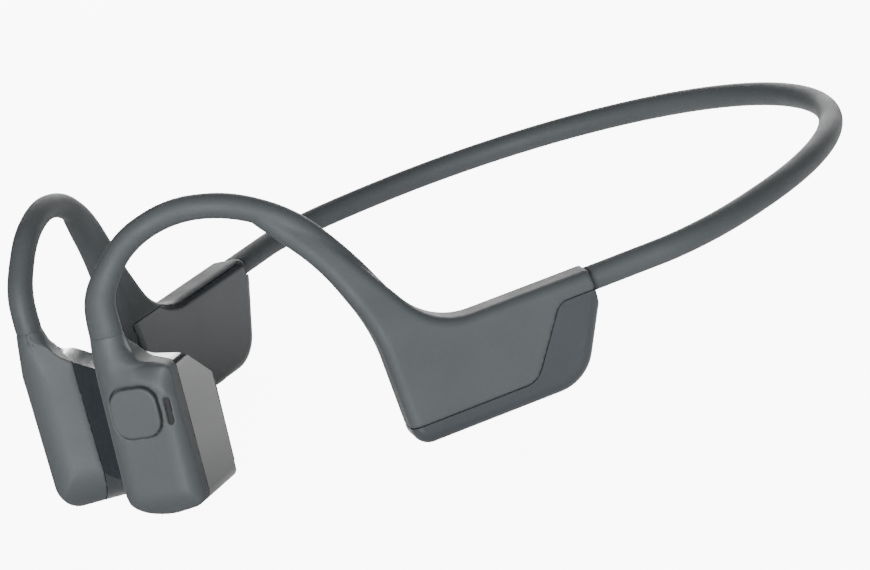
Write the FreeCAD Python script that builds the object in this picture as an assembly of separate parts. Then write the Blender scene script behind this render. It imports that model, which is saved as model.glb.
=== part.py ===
import FreeCAD, Part
import math
import os

from FreeCAD import Matrix, Placement, Vector

# Bone conduction headphones, in millimetres.  +X is the wearer's left, -Y the front, where
# the two speakers are, and +Z is up.  The origin is under the middle of the whole object,
# on the surface that it stands on.  Shapes are drawn in the band frame, whose origin is
# level with the neckband where it is widest, and FRAME_SHIFT carries them to the row frame.
FRAME_SHIFT = Vector(0, 7.0, 12.1)

# ------------------------------------------------------------------- driving dimensions
BAND_HALF_WIDTH = 47.0        # middle of the neckband, out from the centre plane
BAND_DEPTH = 50.8             # from the widest place to the back of the neckband
BAND_TUBE = 3.2               # outside diameter of the neckband cover
CORE_WIRE = 0.8               # springy metal wire
CORE_CABLE = 1.0              # cable beside the wire
CORE_OFFSET = 0.53            # wire and cable, each side of the middle of their tube
CHANNEL = 2.3                 # bore that holds wire and cable
FIT_GAP = 0.05                # room around a piece in its pocket

POD_ANGLE = 22.7              # degrees that a pod turns inwards, towards the front
POD_CORNER_Y = -1.2           # where the band's side and the pod's line would meet
POD_REACH = 28.0              # from that corner to the pod's origin
POD_FRONT = 12.4              # the pod's front edge, ahead of its origin
POD_REAR = 15.4               # the pod's rear end, behind its origin
POD_TOP = 1.8
POD_BOTTOM = 11.7             # the pod's bottom edge, below the band's middle
POD_THICKNESS = 6.0
POD_WALL = 1.0
# The pod's limb, from where it starts to thin: height, lean inwards and the share of the
# way that its half thickness is from the hook's to the pod's.
LIMB_LINE = ((1.0, 0.0, 1.0), (8.5, 1.6, 0.533), (13.0, 2.8, 0.3), (17.0, 4.1, 0.133),
             (23.0, 6.75, 0.0))
LIMB_TIP = 20.3               # height where the limb ends on the hook
SKIN = 1.0                    # soft skin on the outside of a pod
WRAP = 0.6                    # the same skin where it wraps the front and top edges
LID = 0.6
SHELL_BORDER = 2.5            # hard border left bare along the bottom of the skin
POCKET_RISE = 3.3             # lowest edge of the lid's pocket, above the pod's bottom
POCKET_LIP = 0.6              # ledge that the lid rests on
POD_ROUND = 1.4               # rounding of the pod's long edges
HOOK_TUBE = 3.2               # outside diameter of an ear hook
HOOK_TIP = Vector(9.5, -34.7, 12.9)   # end of the hook: X from the centre plane, Y from the pod
HOOK_TOP = 25.1               # highest corner of the hook's middle line

SPEAKER_TURN = 54.7           # degrees, the outer face's normal in plan, from +X to the front
SPEAKER_TILT = 3.0            # degrees, the outer face looks up
SPEAKER_LEAN = 5.0            # degrees, the speaker's foot swings to the front
SPEAKER_FRONT = 2.6           # front edge, ahead of the hook's middle
SPEAKER_REAR = 8.4            # rear edge, behind the hook's middle
SPEAKER_SHOULDER = 4.2        # top of the rear corner, below the hook's end
SPEAKER_FOOT = 24.9           # lowest edge, below the hook's end
SPEAKER_OUT = 2.45            # outer face, from the middle of the hook
SPEAKER_IN = 10.7             # inner face of the housing, inwards from the middle of the hook
SPEAKER_SEAM = 1.0            # seam of cover and housing at the rear edge, inwards
SEAM_SLANT = 18.0             # degrees that the seam runs inwards, towards the front edge
SPEAKER_NECK = 4.4            # width of the neck at the hook
SPEAKER_WALL = 1.0
PAD = 0.8                     # soft pad on the inner face
BUTTON_SIZE = 6.4
BUTTON_PLACE = (2.7, -9.8)    # middle of the button, in the speaker frame
BUTTON_STANDS = 0.15          # how far the button stands out of the cover
BUTTON_FLANGE = 0.4           # thickness of the flange that keeps the button in
BUTTON_TRAVEL = 0.3
BUTTON_GAP = 0.15
MIC_PLACE = (7.0, -10.2)      # middle of the microphone's slot, in the speaker frame
MIC_SLOT = (3.6, 0.7)
TRANSDUCER_LENGTH = 11.6      # the magnetic yoke, upright in the speaker
TRANSDUCER_WIDTH = 5.2
VOLUME_LENGTH = 3.0
VOLUME_WIDTH = 2.0
VOLUME_STANDS = 0.4           # how far the volume buttons stand out of the pod
VOLUME_TRAVEL = 0.25
VOLUME_FLOOR = 2.0            # thickness of the pod's bottom where the buttons pass it
VOLUME_PLACES = {"volume_up_button": 0.6, "volume_down_button": 4.2}   # x in the pod frame
LIGHT_X = 7.2
LIGHT_RADIUS = 0.6
PORT_X = -6.0
PORT_WIDTH = 8.94             # shell of a USB type C receptacle
PORT_HEIGHT = 3.26
PORT_DEPTH = 6.6
PORT_WALL = 0.3

# ----------------------------------------------------------------------- small helpers


def unit(vector):
    return Vector(vector).normalize()


def bend(before, corner, after, reach):
    """Start, middle and end of the arc that rounds a corner, reach away from it."""
    back = unit(before - corner)
    ahead = unit(after - corner)
    inward = unit(back + ahead)
    half = back.getAngle(ahead) / 2
    radius = reach * math.tan(half)
    centre = corner + inward * (radius / math.sin(half))
    return corner + back * reach, centre - inward * radius, corner + ahead * reach


def outline(corners):
    """Closed wire in the XY plane from (x, y, radius) corners; radius 0 stays sharp."""
    points = [Vector(x, y, 0) for x, y, radius in corners]
    count = len(points)
    bends = []
    for i in range(count):
        before, corner, after = points[i - 1], points[i], points[(i + 1) % count]
        radius = corners[i][2]
        if radius == 0:
            bends.append((corner, None, corner))
            continue
        half = (before - corner).getAngle(after - corner) / 2
        bends.append(bend(before, corner, after, radius / math.tan(half)))
    edges = []
    for i in range(count):
        start, middle, end = bends[i]
        if middle is not None:
            edges.append(Part.Arc(start, middle, end).toShape())
        following = bends[(i + 1) % count][0]
        if (following - end).Length > 1e-6:
            edges.append(Part.LineSegment(end, following).toShape())
    return Part.Wire(edges)


def slab(wire, low, high):
    face = Part.Face(wire)
    face.translate(Vector(0, 0, low))
    return face.extrude(Vector(0, 0, high - low))


def block(x, y, z):
    """Box between three (low, high) pairs."""
    return Part.makeBox(x[1] - x[0], y[1] - y[0], z[1] - z[0], Vector(x[0], y[0], z[0]))


def middle_block(length, width, low, high):
    return block((-length / 2, length / 2), (-width / 2, width / 2), (low, high))


def pill(length, width, centre, low, high):
    """Upright plate with round ends, its length along x."""
    x, y = centre
    half, r = length / 2, width / 2 - 1e-3
    corners = [(x - half, y - width / 2, r), (x + half, y - width / 2, r)]
    corners += [(x + half, y + width / 2, r), (x - half, y + width / 2, r)]
    return slab(outline(corners), low, high)


def inset(wire, distance):
    return Part.Face(wire).makeOffset2D(-distance).OuterWire


def soften(shape, radius, wanted):
    """Fillet the edges that wanted(edge) picks."""
    edges = [edge for edge in shape.Edges if wanted(edge)]
    return shape.makeFillet(radius, edges)


def at_height(edge, height):
    box = edge.BoundBox
    return abs(box.ZMin - height) < 1e-4 and abs(box.ZMax - height) < 1e-4


def curved_path(points, share=0.45):
    """Open path of straight runs joined by tangent arcs."""
    edges = []
    place = points[0]
    for before, corner, after in zip(points, points[1:], points[2:]):
        reach = share * min((corner - before).Length, (after - corner).Length)
        start, middle, end = bend(before, corner, after, reach)
        edges.append(Part.LineSegment(place, start).toShape())
        edges.append(Part.Arc(start, middle, end).toShape())
        place = end
    edges.append(Part.LineSegment(place, points[-1]).toShape())
    return Part.Wire(edges)


def tube(points, diameter):
    circle = Part.makeCircle(diameter / 2, points[0], points[1] - points[0])
    return curved_path(points).makePipeShell([Part.Wire([circle])], True, False)


def shifted(points, offset):
    return [point + offset for point in points]


def mirrored(shape):
    return shape.mirror(Vector(0, 0, 0), Vector(1, 0, 0))


def frame(origin, x_axis, y_axis):
    z_axis = x_axis.cross(y_axis)
    return Placement(Matrix(
        x_axis.x, y_axis.x, z_axis.x, origin.x,
        x_axis.y, y_axis.y, z_axis.y, origin.y,
        x_axis.z, y_axis.z, z_axis.z, origin.z,
        0, 0, 0, 1))


def placed(shape, placement):
    copy = shape.copy()
    copy.Placement = placement.multiply(copy.Placement)
    return copy


# ------------------------------------------------------------------------- the frames
# The pod frame: x to the rear along the pod, y up, z out of the pod's outer face.
pod_turn = math.radians(POD_ANGLE)
POD_REARWARDS = Vector(math.sin(pod_turn), math.cos(pod_turn), 0)
POD_CORNER = Vector(BAND_HALF_WIDTH, POD_CORNER_Y, 0)
POD_ORIGIN = POD_CORNER - POD_REARWARDS * POD_REACH
POD_FRAME = frame(POD_ORIGIN, POD_REARWARDS, Vector(0, 0, 1))
POD_OUT = POD_THICKNESS / 2

# The speaker frame: x to the rear, y up, z out of the speaker's outer face.
turn, tilt = math.radians(SPEAKER_TURN), math.radians(SPEAKER_TILT)
SPEAKER_NORMAL = Vector(
    math.cos(tilt) * math.cos(turn), -math.cos(tilt) * math.sin(turn), math.sin(tilt))
LEVEL_REARWARDS = Vector(math.sin(turn), math.cos(turn), 0)
LEVEL_UP = SPEAKER_NORMAL.cross(LEVEL_REARWARDS)
lean = math.radians(SPEAKER_LEAN)
SPEAKER_REARWARDS = LEVEL_REARWARDS * math.cos(lean) - LEVEL_UP * math.sin(lean)
SPEAKER_ORIGIN = Vector(HOOK_TIP.x, POD_ORIGIN.y + HOOK_TIP.y, HOOK_TIP.z)
SPEAKER_FRAME = frame(
    SPEAKER_ORIGIN, SPEAKER_REARWARDS, SPEAKER_NORMAL.cross(SPEAKER_REARWARDS))
PAD_FRONT = -0.3                              # front and top of the housing's inner face
PAD_TOP = -SPEAKER_SHOULDER - 5.0
PAD_MIDDLE = ((SPEAKER_REAR + PAD_FRONT) / 2, (PAD_TOP + 1.2 - SPEAKER_FOOT) / 2)

# --------------------------------------------------------------------- the middle lines


def band_points(end):
    """Corners of the neckband's middle line; end is where it stops along the pods' lines."""
    steps = 10
    step = math.pi / steps
    arch = []
    for i in range(steps):
        angle = (i + 0.5) * step
        x = BAND_HALF_WIDTH * math.cos(angle) / math.cos(step / 2)
        y = BAND_DEPTH * math.sin(angle) / math.cos(step / 2)
        arch.append(Vector(x, y, 0))
    left = [POD_ORIGIN + POD_REARWARDS * end, POD_CORNER]
    right = [Vector(-point.x, point.y, point.z) for point in reversed(left)]
    return left + arch + right


def hook_points():
    """Corners of the left hook's middle line, from inside the pod to inside the speaker."""
    root = POD_FRAME.multVec(Vector(-3.0, -0.6, 0))
    along = SPEAKER_ORIGIN - POD_ORIGIN
    along.z = 0
    aside = unit(Vector(along.y, -along.x, 0))
    rise = HOOK_TOP - HOOK_TIP.z
    # share of the way to the speaker, height, and bow to the inner side
    corners = [(0.185, 3.4, -1.0), (0.29, 12.9, -0.4), (0.395, HOOK_TIP.z + 0.54 * rise, 0.4),
               (0.545, HOOK_TIP.z + 0.88 * rise, 1.2), (0.71, HOOK_TOP, 1.4),
               (0.87, HOOK_TIP.z + 0.84 * rise, 1.0), (0.975, HOOK_TIP.z + 0.42 * rise, 0.2)]
    points = [root]
    for share, height, bow in corners:
        point = POD_ORIGIN + along * share + aside * bow
        point.z = height
        points.append(point)
    return points + [SPEAKER_ORIGIN, SPEAKER_FRAME.multVec(Vector(0.4, -4.2, 0))]


HOOK = hook_points()
HOOK_ASIDE = unit(Vector(SPEAKER_ORIGIN.y - POD_ORIGIN.y, POD_ORIGIN.x - SPEAKER_ORIGIN.x, 0))

# --------------------------------------------------------------------------- neckband


def neckband():
    inside = POD_REAR - 4.0
    lift = Vector(0, 0, CORE_OFFSET)
    cover = tube(band_points(POD_REAR), BAND_TUBE).cut(tube(band_points(inside), CHANNEL))
    return {
        "neckband_cover": cover,
        "neckband_wire": tube(shifted(band_points(inside), lift), CORE_WIRE),
        "neckband_cable": tube(shifted(band_points(inside), -lift), CORE_CABLE),
    }


# -------------------------------------------------------------------------------- pods


def pod_outline():
    rear_foot = POD_REAR - 4.4
    limb = POD_FRONT - 0.25
    toe = limb - 0.3
    return outline([
        (POD_REAR, POD_TOP - 0.1, 0),
        (-4.7, POD_TOP, 8.8),
        (-13.6, LIMB_TIP - 3.6, 14.0),
        (-18.8, LIMB_TIP + 2.2, 0),
        (-20.9, LIMB_TIP, 0),
        (-15.5, 12.9, 26.0),
        (-limb, 3.6, 24.0),
        (-toe, -POD_BOTTOM, 2.2),
        (rear_foot, -POD_BOTTOM, 6.0),
        (POD_REAR, -3.0, 0),
    ])


def limb_cutter(side):
    """Room outside one face of the limb; side is 1 for the outer face, -1 for the inner."""
    far = side * 14.0
    thin = HOOK_TUBE / 2 - 0.1
    points = [Vector(0, height, side * (thin + share * (POD_OUT - thin)) - lean_in)
              for height, lean_in, share in LIMB_LINE]
    start, end = points[0], points[-1]
    curve = Part.BSplineCurve()
    curve.interpolate(points, InitialTangent=Vector(0, 1, 0),
                      FinalTangent=end - points[-2])
    corners = [end, Vector(0, end.y, far), Vector(0, -30, far), Vector(0, -30, start.z), start]
    lines = [Part.LineSegment(a, b).toShape() for a, b in zip(corners, corners[1:])]
    cut_face = Part.Face(Part.Wire([curve.toShape()] + lines))
    cut_face.translate(Vector(-30, 0, 0))
    return cut_face.extrude(Vector(60, 0, 0))


def long_edge(edge):
    """Whether an edge runs along the rim of a pod's outer or inner face."""
    box = edge.BoundBox
    across = box.ZMax - box.ZMin > 3.0 and box.XMax - box.XMin < 1.0 and box.YMax - box.YMin < 1.0
    at_rear = box.XMin > POD_REAR - 0.01
    at_top = box.YMin > LIMB_TIP - 1.0
    crease = abs(box.YMin - LIMB_LINE[0][0]) < 1e-3 and box.YMax - box.YMin < 1e-3
    return not (across or at_rear or at_top or crease)


def pod_body():
    """Outer form of a pod with its limb, which thins and leans inwards up to the hook."""
    body = slab(pod_outline(), -9.0, POD_OUT)
    body = body.cut(limb_cutter(1)).cut(limb_cutter(-1))
    return soften(body, POD_ROUND, long_edge)


def skin_outline():
    """Edge of the soft skin on the pod's outer face, run out past the pod's own edge."""
    low = -POD_BOTTOM + SHELL_BORDER
    past = 6.0
    return outline([
        (POD_REAR, POD_TOP + past, 0),
        (-POD_FRONT - past, POD_TOP + past, 0),
        (-POD_FRONT - past, low, 0),
        (POD_REAR - 10.5, low, 3.0),
        (POD_REAR - 4.8, -0.8, 2.0),
        (POD_REAR, -0.8, 0),
    ])


def pocket_outline():
    """Pocket for the lid, on the hard shell under the skin."""
    low = -POD_BOTTOM + POCKET_RISE
    return outline([
        (POD_REAR - 6.6, POD_TOP - POD_WALL - 0.2, 1.0),
        (-POD_FRONT + POD_WALL + WRAP, POD_TOP - POD_WALL - 0.2, 1.0),
        (-POD_FRONT + POD_WALL + WRAP, low, 1.0),
        (POD_REAR - 11.2, low, 1.5),
        (POD_REAR - 6.6, -2.6, 1.5),
    ])


def pod_pieces():
    body = pod_body()
    under_skin = POD_OUT - SKIN
    skin_zone = slab(skin_outline(), under_skin, POD_OUT + 1)
    wrap = slab(skin_outline(), -POD_OUT - 1, POD_OUT + 1)
    wrap = wrap.cut(slab(inset(pod_outline(), WRAP), -POD_OUT - 2, POD_OUT + 2))
    limb_zone = block((-30, 0.5), (2.6, 30), (-10, 10))
    skin_zone = skin_zone.fuse(wrap).fuse(limb_zone)
    pocket = pocket_outline()
    lid_floor = under_skin - LID
    hollow = slab(inset(pocket, POCKET_LIP), -POD_OUT + POD_WALL, lid_floor)
    hollow = hollow.fuse(slab(pocket, lid_floor, under_skin))
    band_bore = Part.makeCylinder(CHANNEL / 2, 12, Vector(POD_REAR - 11, 0, 0), Vector(1, 0, 0))
    hook_bore = placed(tube(HOOK, CHANNEL), POD_FRAME.inverse())
    shell = body.cut(skin_zone).cut(hollow).cut(band_bore).cut(hook_bore)
    past_neck = placed(block((-9, 9), (-9, 0), (-9, 9)), SPEAKER_FRAME)
    hook_tube = placed(tube(HOOK[1:], HOOK_TUBE).cut(past_neck), POD_FRAME.inverse())
    above = block((-60, 60), (2.6, 60), (-60, 60))
    skin = body.common(skin_zone).fuse(hook_tube.common(above)).cut(hook_bore).cut(band_bore)
    lid = slab(inset(pocket, FIT_GAP), lid_floor, under_skin).cut(hook_bore)
    return {"ear_hook": skin, "pod_shell": shell, "pod_lid": lid}


# ---------------------------------------------------------------------------- speakers


def speaker_form(shrink):
    """Outer form of a speaker, or the form that lies shrink inside it: what its front
    view, its side view and its plan have in common."""
    half = SPEAKER_NECK / 2
    neck = HOOK_TUBE / 2 + 0.1
    top, foot, shoulder = 0.0, -SPEAKER_FOOT, -SPEAKER_SHOULDER
    front_view = outline([
        (0.2 - half, top, 0), (-SPEAKER_FRONT, -6.0, 20.0), (-SPEAKER_FRONT, foot - 0.4, 5.6),
        (SPEAKER_REAR, foot + 2.0, 1.6), (SPEAKER_REAR - 0.4, shoulder - 0.4, 1.2),
        (half + 1.4, shoulder + 0.4, 2.4), (half + 0.2, top, 0)])
    side_view = outline([
        (neck, top, 0), (SPEAKER_OUT, -5.0, 12.0), (SPEAKER_OUT, foot, 4.4),
        (-4.5, foot, 3.0), (-SPEAKER_IN, foot + 0.7, 0.4),
        (-SPEAKER_IN, PAD_TOP, 0.4), (-2.6, shoulder + 0.6, 2.0), (-neck, top, 0)])
    plan = outline([
        (-SPEAKER_FRONT, -SPEAKER_OUT, 2.0), (SPEAKER_REAR, -SPEAKER_OUT, 1.6),
        (SPEAKER_REAR, SPEAKER_IN, 0.5), (PAD_FRONT, SPEAKER_IN, 0.6),
        (-SPEAKER_FRONT, 4.0, 5.0)])
    views = [view if shrink == 0 else inset(view, shrink)
             for view in (front_view, side_view, plan)]
    front_prism = slab(views[0], -SPEAKER_IN - 1, SPEAKER_OUT + 1)
    side_prism = slab(views[1], -SPEAKER_REAR - 1, SPEAKER_FRONT + 1)
    side_prism.Placement = Placement(Vector(0, 0, 0), FreeCAD.Rotation(Vector(0, 1, 0), -90))
    plan_prism = slab(views[2], foot - 1, top + 1)
    plan_prism.Placement = Placement(Vector(0, 0, 0), FreeCAD.Rotation(Vector(1, 0, 0), -90))
    return front_prism.common(side_prism).common(plan_prism)


def seam_halves():
    """Room on the cover's side and on the housing's side of the slanted seam."""
    swing = FreeCAD.Rotation(Vector(0, 1, 0), -SEAM_SLANT)
    at = Placement(Vector(SPEAKER_REAR, 0, -SPEAKER_SEAM), swing)
    return (placed(block((-60, 60), (-60, 60), (0, 60)), at),
            placed(block((-60, 60), (-60, 60), (-60, 0)), at))


def button_outline(size):
    x, y = BUTTON_PLACE
    half = size / 2
    return outline([(x - half, y - half, 2.2), (x + half, y - half, 2.2),
                    (x + half, y + half, 2.2), (x - half, y + half, 2.2)])


def speaker_pieces():
    body = speaker_form(0)
    room = speaker_form(SPEAKER_WALL)
    outer_side, inner_side = seam_halves()
    cover = body.cut(room).common(outer_side)
    housing = body.cut(room).common(inner_side)
    floor = -SPEAKER_IN + SPEAKER_WALL
    pad_top = -SPEAKER_IN - PAD
    pad = soften(slab(pad_outline(), pad_top, -SPEAKER_IN), 0.35,
                 lambda edge: at_height(edge, pad_top))
    yoke_wall, coil_room, coil_wall = 0.4, 0.2, 0.8
    inner_length = TRANSDUCER_LENGTH - 2 * yoke_wall
    inner_width = TRANSDUCER_WIDTH - 2 * yoke_wall
    coil_length, coil_width = inner_length - 2 * coil_room, inner_width - 2 * coil_room
    magnet_length = coil_length - 2 * (coil_wall + 0.8)
    magnet_width = coil_width - 2 * (coil_wall + coil_room)
    coil_top, magnet_top = floor + 2.4, floor + 3.4
    coil = pill(coil_length, coil_width, (0, 0), floor, coil_top)
    coil = coil.cut(pill(coil_length - 2 * coil_wall, coil_width - 2 * coil_wall, (0, 0),
                         floor - 1, coil_top + 1))
    magnet = middle_block(magnet_length, magnet_width, floor + 0.5, magnet_top)
    yoke = middle_block(TRANSDUCER_LENGTH, TRANSDUCER_WIDTH, floor + 0.6, magnet_top + 0.7)
    yoke = yoke.cut(middle_block(inner_length, inner_width, floor, magnet_top))
    upright = Placement(Vector(PAD_MIDDLE[0], PAD_MIDDLE[1], 0),
                        FreeCAD.Rotation(Vector(0, 0, 1), 90))
    plate_low = magnet_top + 0.7
    plate = speaker_form(SPEAKER_WALL + FIT_GAP)
    plate = plate.common(block((-60, 60), (-60, 60), (plate_low, plate_low + 0.3)))
    for side in (-1, 1):
        slit = pill(8.0, 0.7, (0, side * 3.3), plate_low - 1, plate_low + 1)
        plate = plate.cut(placed(slit, upright))
    return {
        "speaker_cover": cover,
        "speaker_housing": housing,
        "contact_pad": pad,
        "voice_coil": placed(coil, upright),
        "transducer_magnet": placed(magnet, upright),
        "transducer_yoke": placed(yoke, upright),
        "suspension_plate": plate,
    }


def pad_outline():
    """Inner face of the housing, inside its rounded edge."""
    edge = 0.35
    front, rear = PAD_FRONT + edge, SPEAKER_REAR - edge
    foot, top = -SPEAKER_FOOT + edge, PAD_TOP - edge
    return outline([(front, foot + 1.2, 2.2), (rear, foot + 2.6, 1.2), (rear, top, 1.2),
                    (front, top, 1.2)])


# ------------------------------------------------------------------- what differs by side


def add_microphone(pieces):
    """Slot in the cover, the mesh in it and the microphone behind it."""
    x, y = MIC_PLACE
    upright = Placement(Vector(x, y, 0), FreeCAD.Rotation(Vector(0, 0, 1), 90))
    inside = SPEAKER_OUT - SPEAKER_WALL
    length, width = MIC_SLOT
    slot = pill(length, width, (0, 0), inside - 1, SPEAKER_OUT + 1)
    mesh = pill(length - 2 * FIT_GAP, width - 2 * FIT_GAP, (0, 0), inside, SPEAKER_OUT - 0.5)
    pieces["speaker_cover"] = pieces["speaker_cover"].cut(placed(slot, upright))
    pieces["mic_mesh"] = placed(mesh, upright)
    top = inside - 1.1
    pieces["microphone"] = block((x - 1.6, x - 0.2), (y - 1.4, y + 1.4), (top - 1.0, top))


def add_button(pieces):
    """Press button in the left speaker's outer face, with its switch."""
    x, y = BUTTON_PLACE
    inside = SPEAKER_OUT - SPEAKER_WALL
    hole = slab(button_outline(BUTTON_SIZE + 2 * BUTTON_GAP), inside - 1, SPEAKER_OUT + 1)
    pieces["speaker_cover"] = pieces["speaker_cover"].cut(hole)
    under = inside - BUTTON_FLANGE
    cap = slab(button_outline(BUTTON_SIZE), under, SPEAKER_OUT + BUTTON_STANDS)
    cap = soften(cap, 0.3, lambda edge: at_height(edge, SPEAKER_OUT + BUTTON_STANDS))
    flange = slab(button_outline(BUTTON_SIZE + 0.6), under, inside)
    flange = flange.common(speaker_form(SPEAKER_WALL + FIT_GAP))
    stem_length = 0.5
    stem = Part.makeCylinder(0.8, stem_length, Vector(x, y, under - stem_length))
    pieces["multifunction_button"] = cap.fuse(flange).fuse(stem)
    top = under - stem_length - BUTTON_TRAVEL - FIT_GAP
    base = block((x - 1.9, x + 1.9), (y - 1.9, y + 1.9), (top - 0.9, top - 0.3))
    pieces["button_switch"] = base.fuse(Part.makeCone(1.4, 0.8, 0.3, Vector(x, y, top - 0.3)))
    seat = top - 0.9
    pieces["button_board"] = block((x - 2.6, x + 2.6), (y - 3.2, y + 3.2), (seat - 0.6, seat))


def cavity_box():
    """Clear room in a pod: x, y and z spans below the wiring strip."""
    low = -POD_BOTTOM + POCKET_RISE + POCKET_LIP
    return ((-POD_FRONT + POD_WALL + WRAP + POCKET_LIP, POD_REAR - 13.2), (low, -1.6),
            (-POD_OUT + POD_WALL, POD_OUT - SKIN - LID))


def battery():
    x, y, z = cavity_box()
    gap = 0.2
    cell = block((x[0] + gap, x[1] - gap), (y[0] + gap, y[1]), (z[0] + gap / 2, z[1] - gap / 2))
    return soften(cell, 0.8, lambda edge: edge.BoundBox.XLength > 5)


def add_controls(pod):
    """Main board, charging port, volume buttons and status light of the right pod."""
    add_port(pod)
    add_board(pod)
    add_volume(pod)


def port_middle():
    return -POD_OUT + POD_WALL + FIT_GAP + PORT_HEIGHT / 2


def add_port(pod):
    """Receptacle that opens in the pod's underside, with the contact tongue in it."""
    put = Placement(Vector(PORT_X, -POD_BOTTOM, port_middle()),
                    FreeCAD.Rotation(Vector(1, 0, 0), 90))
    hole = pill(PORT_WIDTH + 2 * FIT_GAP, PORT_HEIGHT + 2 * FIT_GAP, (0, 0), -PORT_DEPTH, 1)
    pod["pod_shell"] = pod["pod_shell"].cut(placed(hole, put))
    recess = 0.4
    shell = pill(PORT_WIDTH, PORT_HEIGHT, (0, 0), -PORT_DEPTH, -recess)
    inside = pill(PORT_WIDTH - 2 * PORT_WALL, PORT_HEIGHT - 2 * PORT_WALL, (0, 0),
                  -PORT_DEPTH - 1, 1)
    pod["port_shell"] = placed(shell.cut(inside), put)
    plug = pill(PORT_WIDTH - 2 * PORT_WALL, PORT_HEIGHT - 2 * PORT_WALL, (0, 0),
                -PORT_DEPTH, -PORT_DEPTH + 1.6)
    blade = block((-3.35, 3.35), (-0.35, 0.35), (-PORT_DEPTH, -recess - 1.0))
    pod["port_tongue"] = placed(plug.fuse(blade), put)


def add_board(pod):
    """Board above and behind the port, with a shielded chip on it."""
    x, y, z = cavity_box()
    gap = 0.15
    port_top = -POD_BOTTOM + PORT_DEPTH + 0.2
    port_rear = PORT_X + PORT_WIDTH / 2 + 0.2
    low, high = z[0] + FIT_GAP, z[0] + 0.6
    can_wall = 0.2
    board = block((x[0] + gap, x[1] - gap), (port_top, y[1] + 1.0), (low, high))
    board = board.fuse(block((port_rear, x[1] - gap), (y[0] + gap, port_top), (low, high)))
    pod["main_board"] = board
    can_x, can_y = (x[0] + 0.6, x[1] - 2.6), (port_top + 0.3, y[1] + 0.2)
    can = block(can_x, can_y, (high, high + 1.1))
    inside = block((can_x[0] + can_wall, can_x[1] - can_wall),
                   (can_y[0] + can_wall, can_y[1] - can_wall), (high, high + 1.1 - can_wall))
    pod["shield_can"] = can.cut(inside)
    pod["main_chip"] = block((x[0] + 2.4, x[0] + 7.4), (port_top + 0.6, y[1] - 0.1),
                             (high, high + 0.8))


def add_volume(pod):
    """Two buttons through the pod's bottom, their switches and the light behind them."""
    seat = -POD_BOTTOM + VOLUME_FLOOR
    flange = 0.4
    middle = -0.2
    put = Placement(Vector(0, -POD_BOTTOM, middle), FreeCAD.Rotation(Vector(1, 0, 0), 90))
    slot = block((-1.6, 8.4), (seat, -POD_BOTTOM + 4.0), (middle - 1.55, middle + 1.55))
    pod["pod_shell"] = pod["pod_shell"].cut(slot)
    dome_top = seat + flange + VOLUME_TRAVEL + FIT_GAP
    strip_face = dome_top + 0.35
    strip = block((-1.4, 8.2), (strip_face, strip_face + 0.25), (middle - 1.3, middle + 1.3))
    for name, x in VOLUME_PLACES.items():
        around = 2 * BUTTON_GAP
        hole = pill(VOLUME_LENGTH + around, VOLUME_WIDTH + around, (x, 0), -VOLUME_FLOOR - 1, 2)
        pod["pod_shell"] = pod["pod_shell"].cut(placed(hole, put))
        cap = pill(VOLUME_LENGTH, VOLUME_WIDTH, (x, 0), -VOLUME_FLOOR, VOLUME_STANDS)
        cap = soften(cap, 0.25, lambda edge: at_height(edge, VOLUME_STANDS))
        rim = pill(VOLUME_LENGTH + 0.36, VOLUME_WIDTH + 0.9, (x, 0),
                   -VOLUME_FLOOR - flange, -VOLUME_FLOOR)
        pod[name] = placed(cap.fuse(rim), put)
        dome = Part.makeCone(1.0, 0.6, 0.35, Vector(x, strip_face, middle), Vector(0, -1, 0))
        strip = strip.fuse(dome)
    pod["volume_switches"] = strip
    up = Vector(0, 1, 0)
    lens_hole = Part.makeCylinder(LIGHT_RADIUS + FIT_GAP, 6,
                                  Vector(LIGHT_X, -POD_BOTTOM - 3, middle), up)
    pod["pod_shell"] = pod["pod_shell"].cut(lens_hole)
    pod["status_light"] = Part.makeCylinder(LIGHT_RADIUS, VOLUME_FLOOR + 0.5,
                                            Vector(LIGHT_X, -POD_BOTTOM + 0.1, middle), up)


# ------------------------------------------------------------------------------ output


def side_pieces():
    """Pieces that both sides have, drawn for the left side in their own frames."""
    pod = pod_pieces()
    speaker = speaker_pieces()
    add_microphone(speaker)
    hook = {
        "hook_wire": tube(shifted(HOOK, HOOK_ASIDE * CORE_OFFSET), CORE_WIRE),
        "hook_cable": tube(shifted(HOOK, HOOK_ASIDE * -CORE_OFFSET), CORE_CABLE),
    }
    return pod, speaker, hook


def assembly():
    nodes = neckband()
    for side in ("left", "right"):
        pod, speaker, hook = side_pieces()
        bore = placed(tube(HOOK, CHANNEL), SPEAKER_FRAME.inverse())
        speaker["speaker_cover"] = speaker["speaker_cover"].cut(bore)
        if side == "left":
            pod["battery"] = battery()
            add_button(speaker)
        else:
            add_controls(pod)
        pieces = dict(hook)
        pieces.update({name: placed(shape, POD_FRAME) for name, shape in pod.items()})
        pieces.update({name: placed(shape, SPEAKER_FRAME) for name, shape in speaker.items()})
        for name, shape in pieces.items():
            nodes[side + "_" + name] = shape if side == "left" else mirrored(shape)
    return nodes


def main():
    os.makedirs("parts", exist_ok=True)
    for name, shape in assembly().items():
        shape.translate(FRAME_SHIFT)
        print(name, len(shape.Solids), shape.isValid(), round(shape.Volume, 2))
        shape.exportStep("parts/%s.step" % name)


main()
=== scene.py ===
import math

import bmesh
import bpy
from bpy.props import FloatProperty, FloatVectorProperty, IntProperty, PointerProperty
from mathutils import Matrix, Vector


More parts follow.
